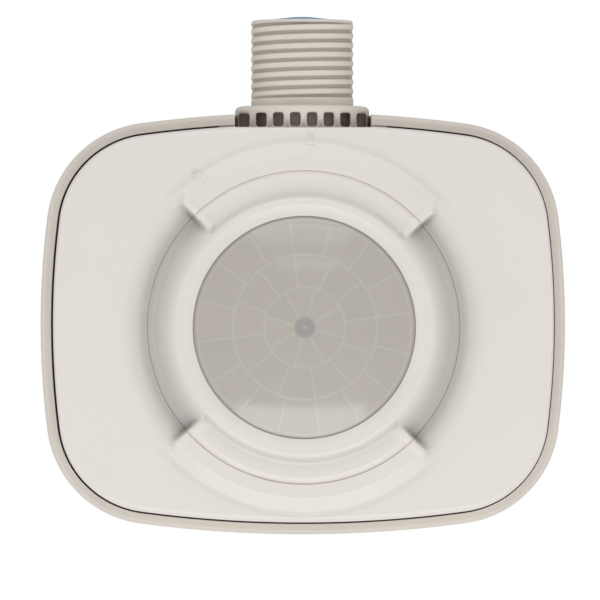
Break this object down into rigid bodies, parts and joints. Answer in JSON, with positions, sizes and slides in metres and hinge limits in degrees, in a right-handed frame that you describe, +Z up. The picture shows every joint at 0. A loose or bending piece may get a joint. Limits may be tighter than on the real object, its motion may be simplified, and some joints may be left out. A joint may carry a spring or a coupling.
{
  "type": "motion sensor",
  "caption": "Fixture-mount infrared motion sensor: wide two-shell housing, threaded conduit nipple on top, round segmented lens in a twist-off ring.",
  "frame": {"origin": "centre of the collar's top face, on the conduit nipple's axis", "axes": "+Z up along the nipple, the lens faces -Y, +X to the right seen from the lens side"},
  "size_m": [0.1032, 0.036, 0.1023],
  "materials": {
    "housing_plastic": "fine moulded texture",
    "nipple_plastic": "moulded satin",
    "cover_plastic": "glossy moulded",
    "ring_plastic": "glossy moulded",
    "lens_plastic": "translucent moulded polyethylene",
    "seal_rubber": "blue moulded rubber",
    "gasket_rubber": "black foam rubber",
    "screw_steel": "zinc plated",
    "board_laminate": "green solder mask",
    "spacer_nylon": "natural nylon",
    "connector_plastic": "black moulded",
    "can_metal": "nickel plated",
    "filter_window": "dark silicon filter",
    "lead_metal": "tinned",
    "led_resin": "red diffused resin",
    "photocell": "resin over a cadmium track",
    "dip_plastic": "red moulded",
    "white_plastic": "white moulded",
    "trimmer_plastic": "blue moulded",
    "button_plastic": "black moulded",
    "chip_epoxy": "black epoxy",
    "chip_ceramic": "tan ceramic",
    "relay_plastic": "black case",
    "core_steel": "varnished laminations",
    "winding_tape": "yellow tape",
    "capacitor_sleeve": "shrink sleeve",
    "varistor_epoxy": "dipped epoxy",
    "fuse_ceramic": "ceramic tube",
    "terminal_plastic": "green moulded"
  },
  "bodies": {
    "housing": {"rear_housing": "housing_plastic", "conduit_nipple": "nipple_plastic", "front_cover": "cover_plastic", "lead_seal": "seal_rubber", "housing_gasket": "gasket_rubber", "housing_screws": "screw_steel", "power_board_screws": "screw_steel", "sensor_board_screws": "screw_steel", "power_board": "board_laminate", "sensor_board": "board_laminate", "board_spacers": "spacer_nylon", "board_header": "connector_plastic", "board_socket": "connector_plastic", "pir_can": "can_metal", "pir_window": "filter_window", "pir_leads": "lead_metal", "terminal_screws": "lead_metal", "status_led": "led_resin", "light_sensor": "photocell", "dip_switch_body": "dip_plastic", "delay_trimmer_body": "trimmer_plastic", "light_trimmer_body": "trimmer_plastic", "test_button_body": "button_plastic", "microcontroller": "chip_epoxy", "amplifier_chip": "chip_epoxy", "chip_resistors": "chip_epoxy", "rectifier_diodes": "chip_epoxy", "chip_capacitors": "chip_ceramic", "power_resistors": "chip_ceramic", "relay": "relay_plastic", "transformer_core": "core_steel", "transformer_winding": "winding_tape", "film_capacitor": "winding_tape", "filter_capacitor": "capacitor_sleeve", "output_capacitor": "capacitor_sleeve", "varistor": "varistor_epoxy", "fuse": "fuse_ceramic", "terminal_block": "terminal_plastic"},
    "lens_ring": {"lens_ring": "ring_plastic", "fresnel_lens": "lens_plastic", "lens_retainer": "ring_plastic"},
    "slider_1": {"dip_slider_1": "white_plastic"},
    "slider_2": {"dip_slider_2": "white_plastic"},
    "slider_3": {"dip_slider_3": "white_plastic"},
    "slider_4": {"dip_slider_4": "white_plastic"},
    "delay_rotor": {"delay_trimmer_rotor": "white_plastic"},
    "light_rotor": {"light_trimmer_rotor": "white_plastic"},
    "button": {"test_button_cap": "button_plastic"}
  },
  "joints": [
    {"name": "lens_twist", "type": "hinge", "parent": "housing", "child": "lens_ring", "pos_m": [0, 0, -0.04365], "axis": [0, -1, 0], "range_deg": [0, 36]},
    {"name": "slider_1_slide", "type": "slide", "parent": "housing", "child": "slider_1", "axis": [0, 0, 1], "range_m": [0, 0.002]},
    {"name": "slider_2_slide", "type": "slide", "parent": "housing", "child": "slider_2", "axis": [0, 0, 1], "range_m": [0, 0.002]},
    {"name": "slider_3_slide", "type": "slide", "parent": "housing", "child": "slider_3", "axis": [0, 0, 1], "range_m": [0, 0.002]},
    {"name": "slider_4_slide", "type": "slide", "parent": "housing", "child": "slider_4", "axis": [0, 0, 1], "range_m": [0, 0.002]},
    {"name": "delay_turn", "type": "hinge", "parent": "housing", "child": "delay_rotor", "pos_m": [-0.0142, 0, -0.05125], "axis": [0, -1, 0], "range_deg": [-130, 130]},
    {"name": "light_turn", "type": "hinge", "parent": "housing", "child": "light_rotor", "pos_m": [0.0142, 0, -0.05125], "axis": [0, -1, 0], "range_deg": [-130, 130]},
    {"name": "button_press", "type": "slide", "parent": "housing", "child": "button", "axis": [0, 1, 0], "range_m": [0, 0.0003], "stiffness_N_per_m": 500, "springref_m": -0.002}
  ]
}
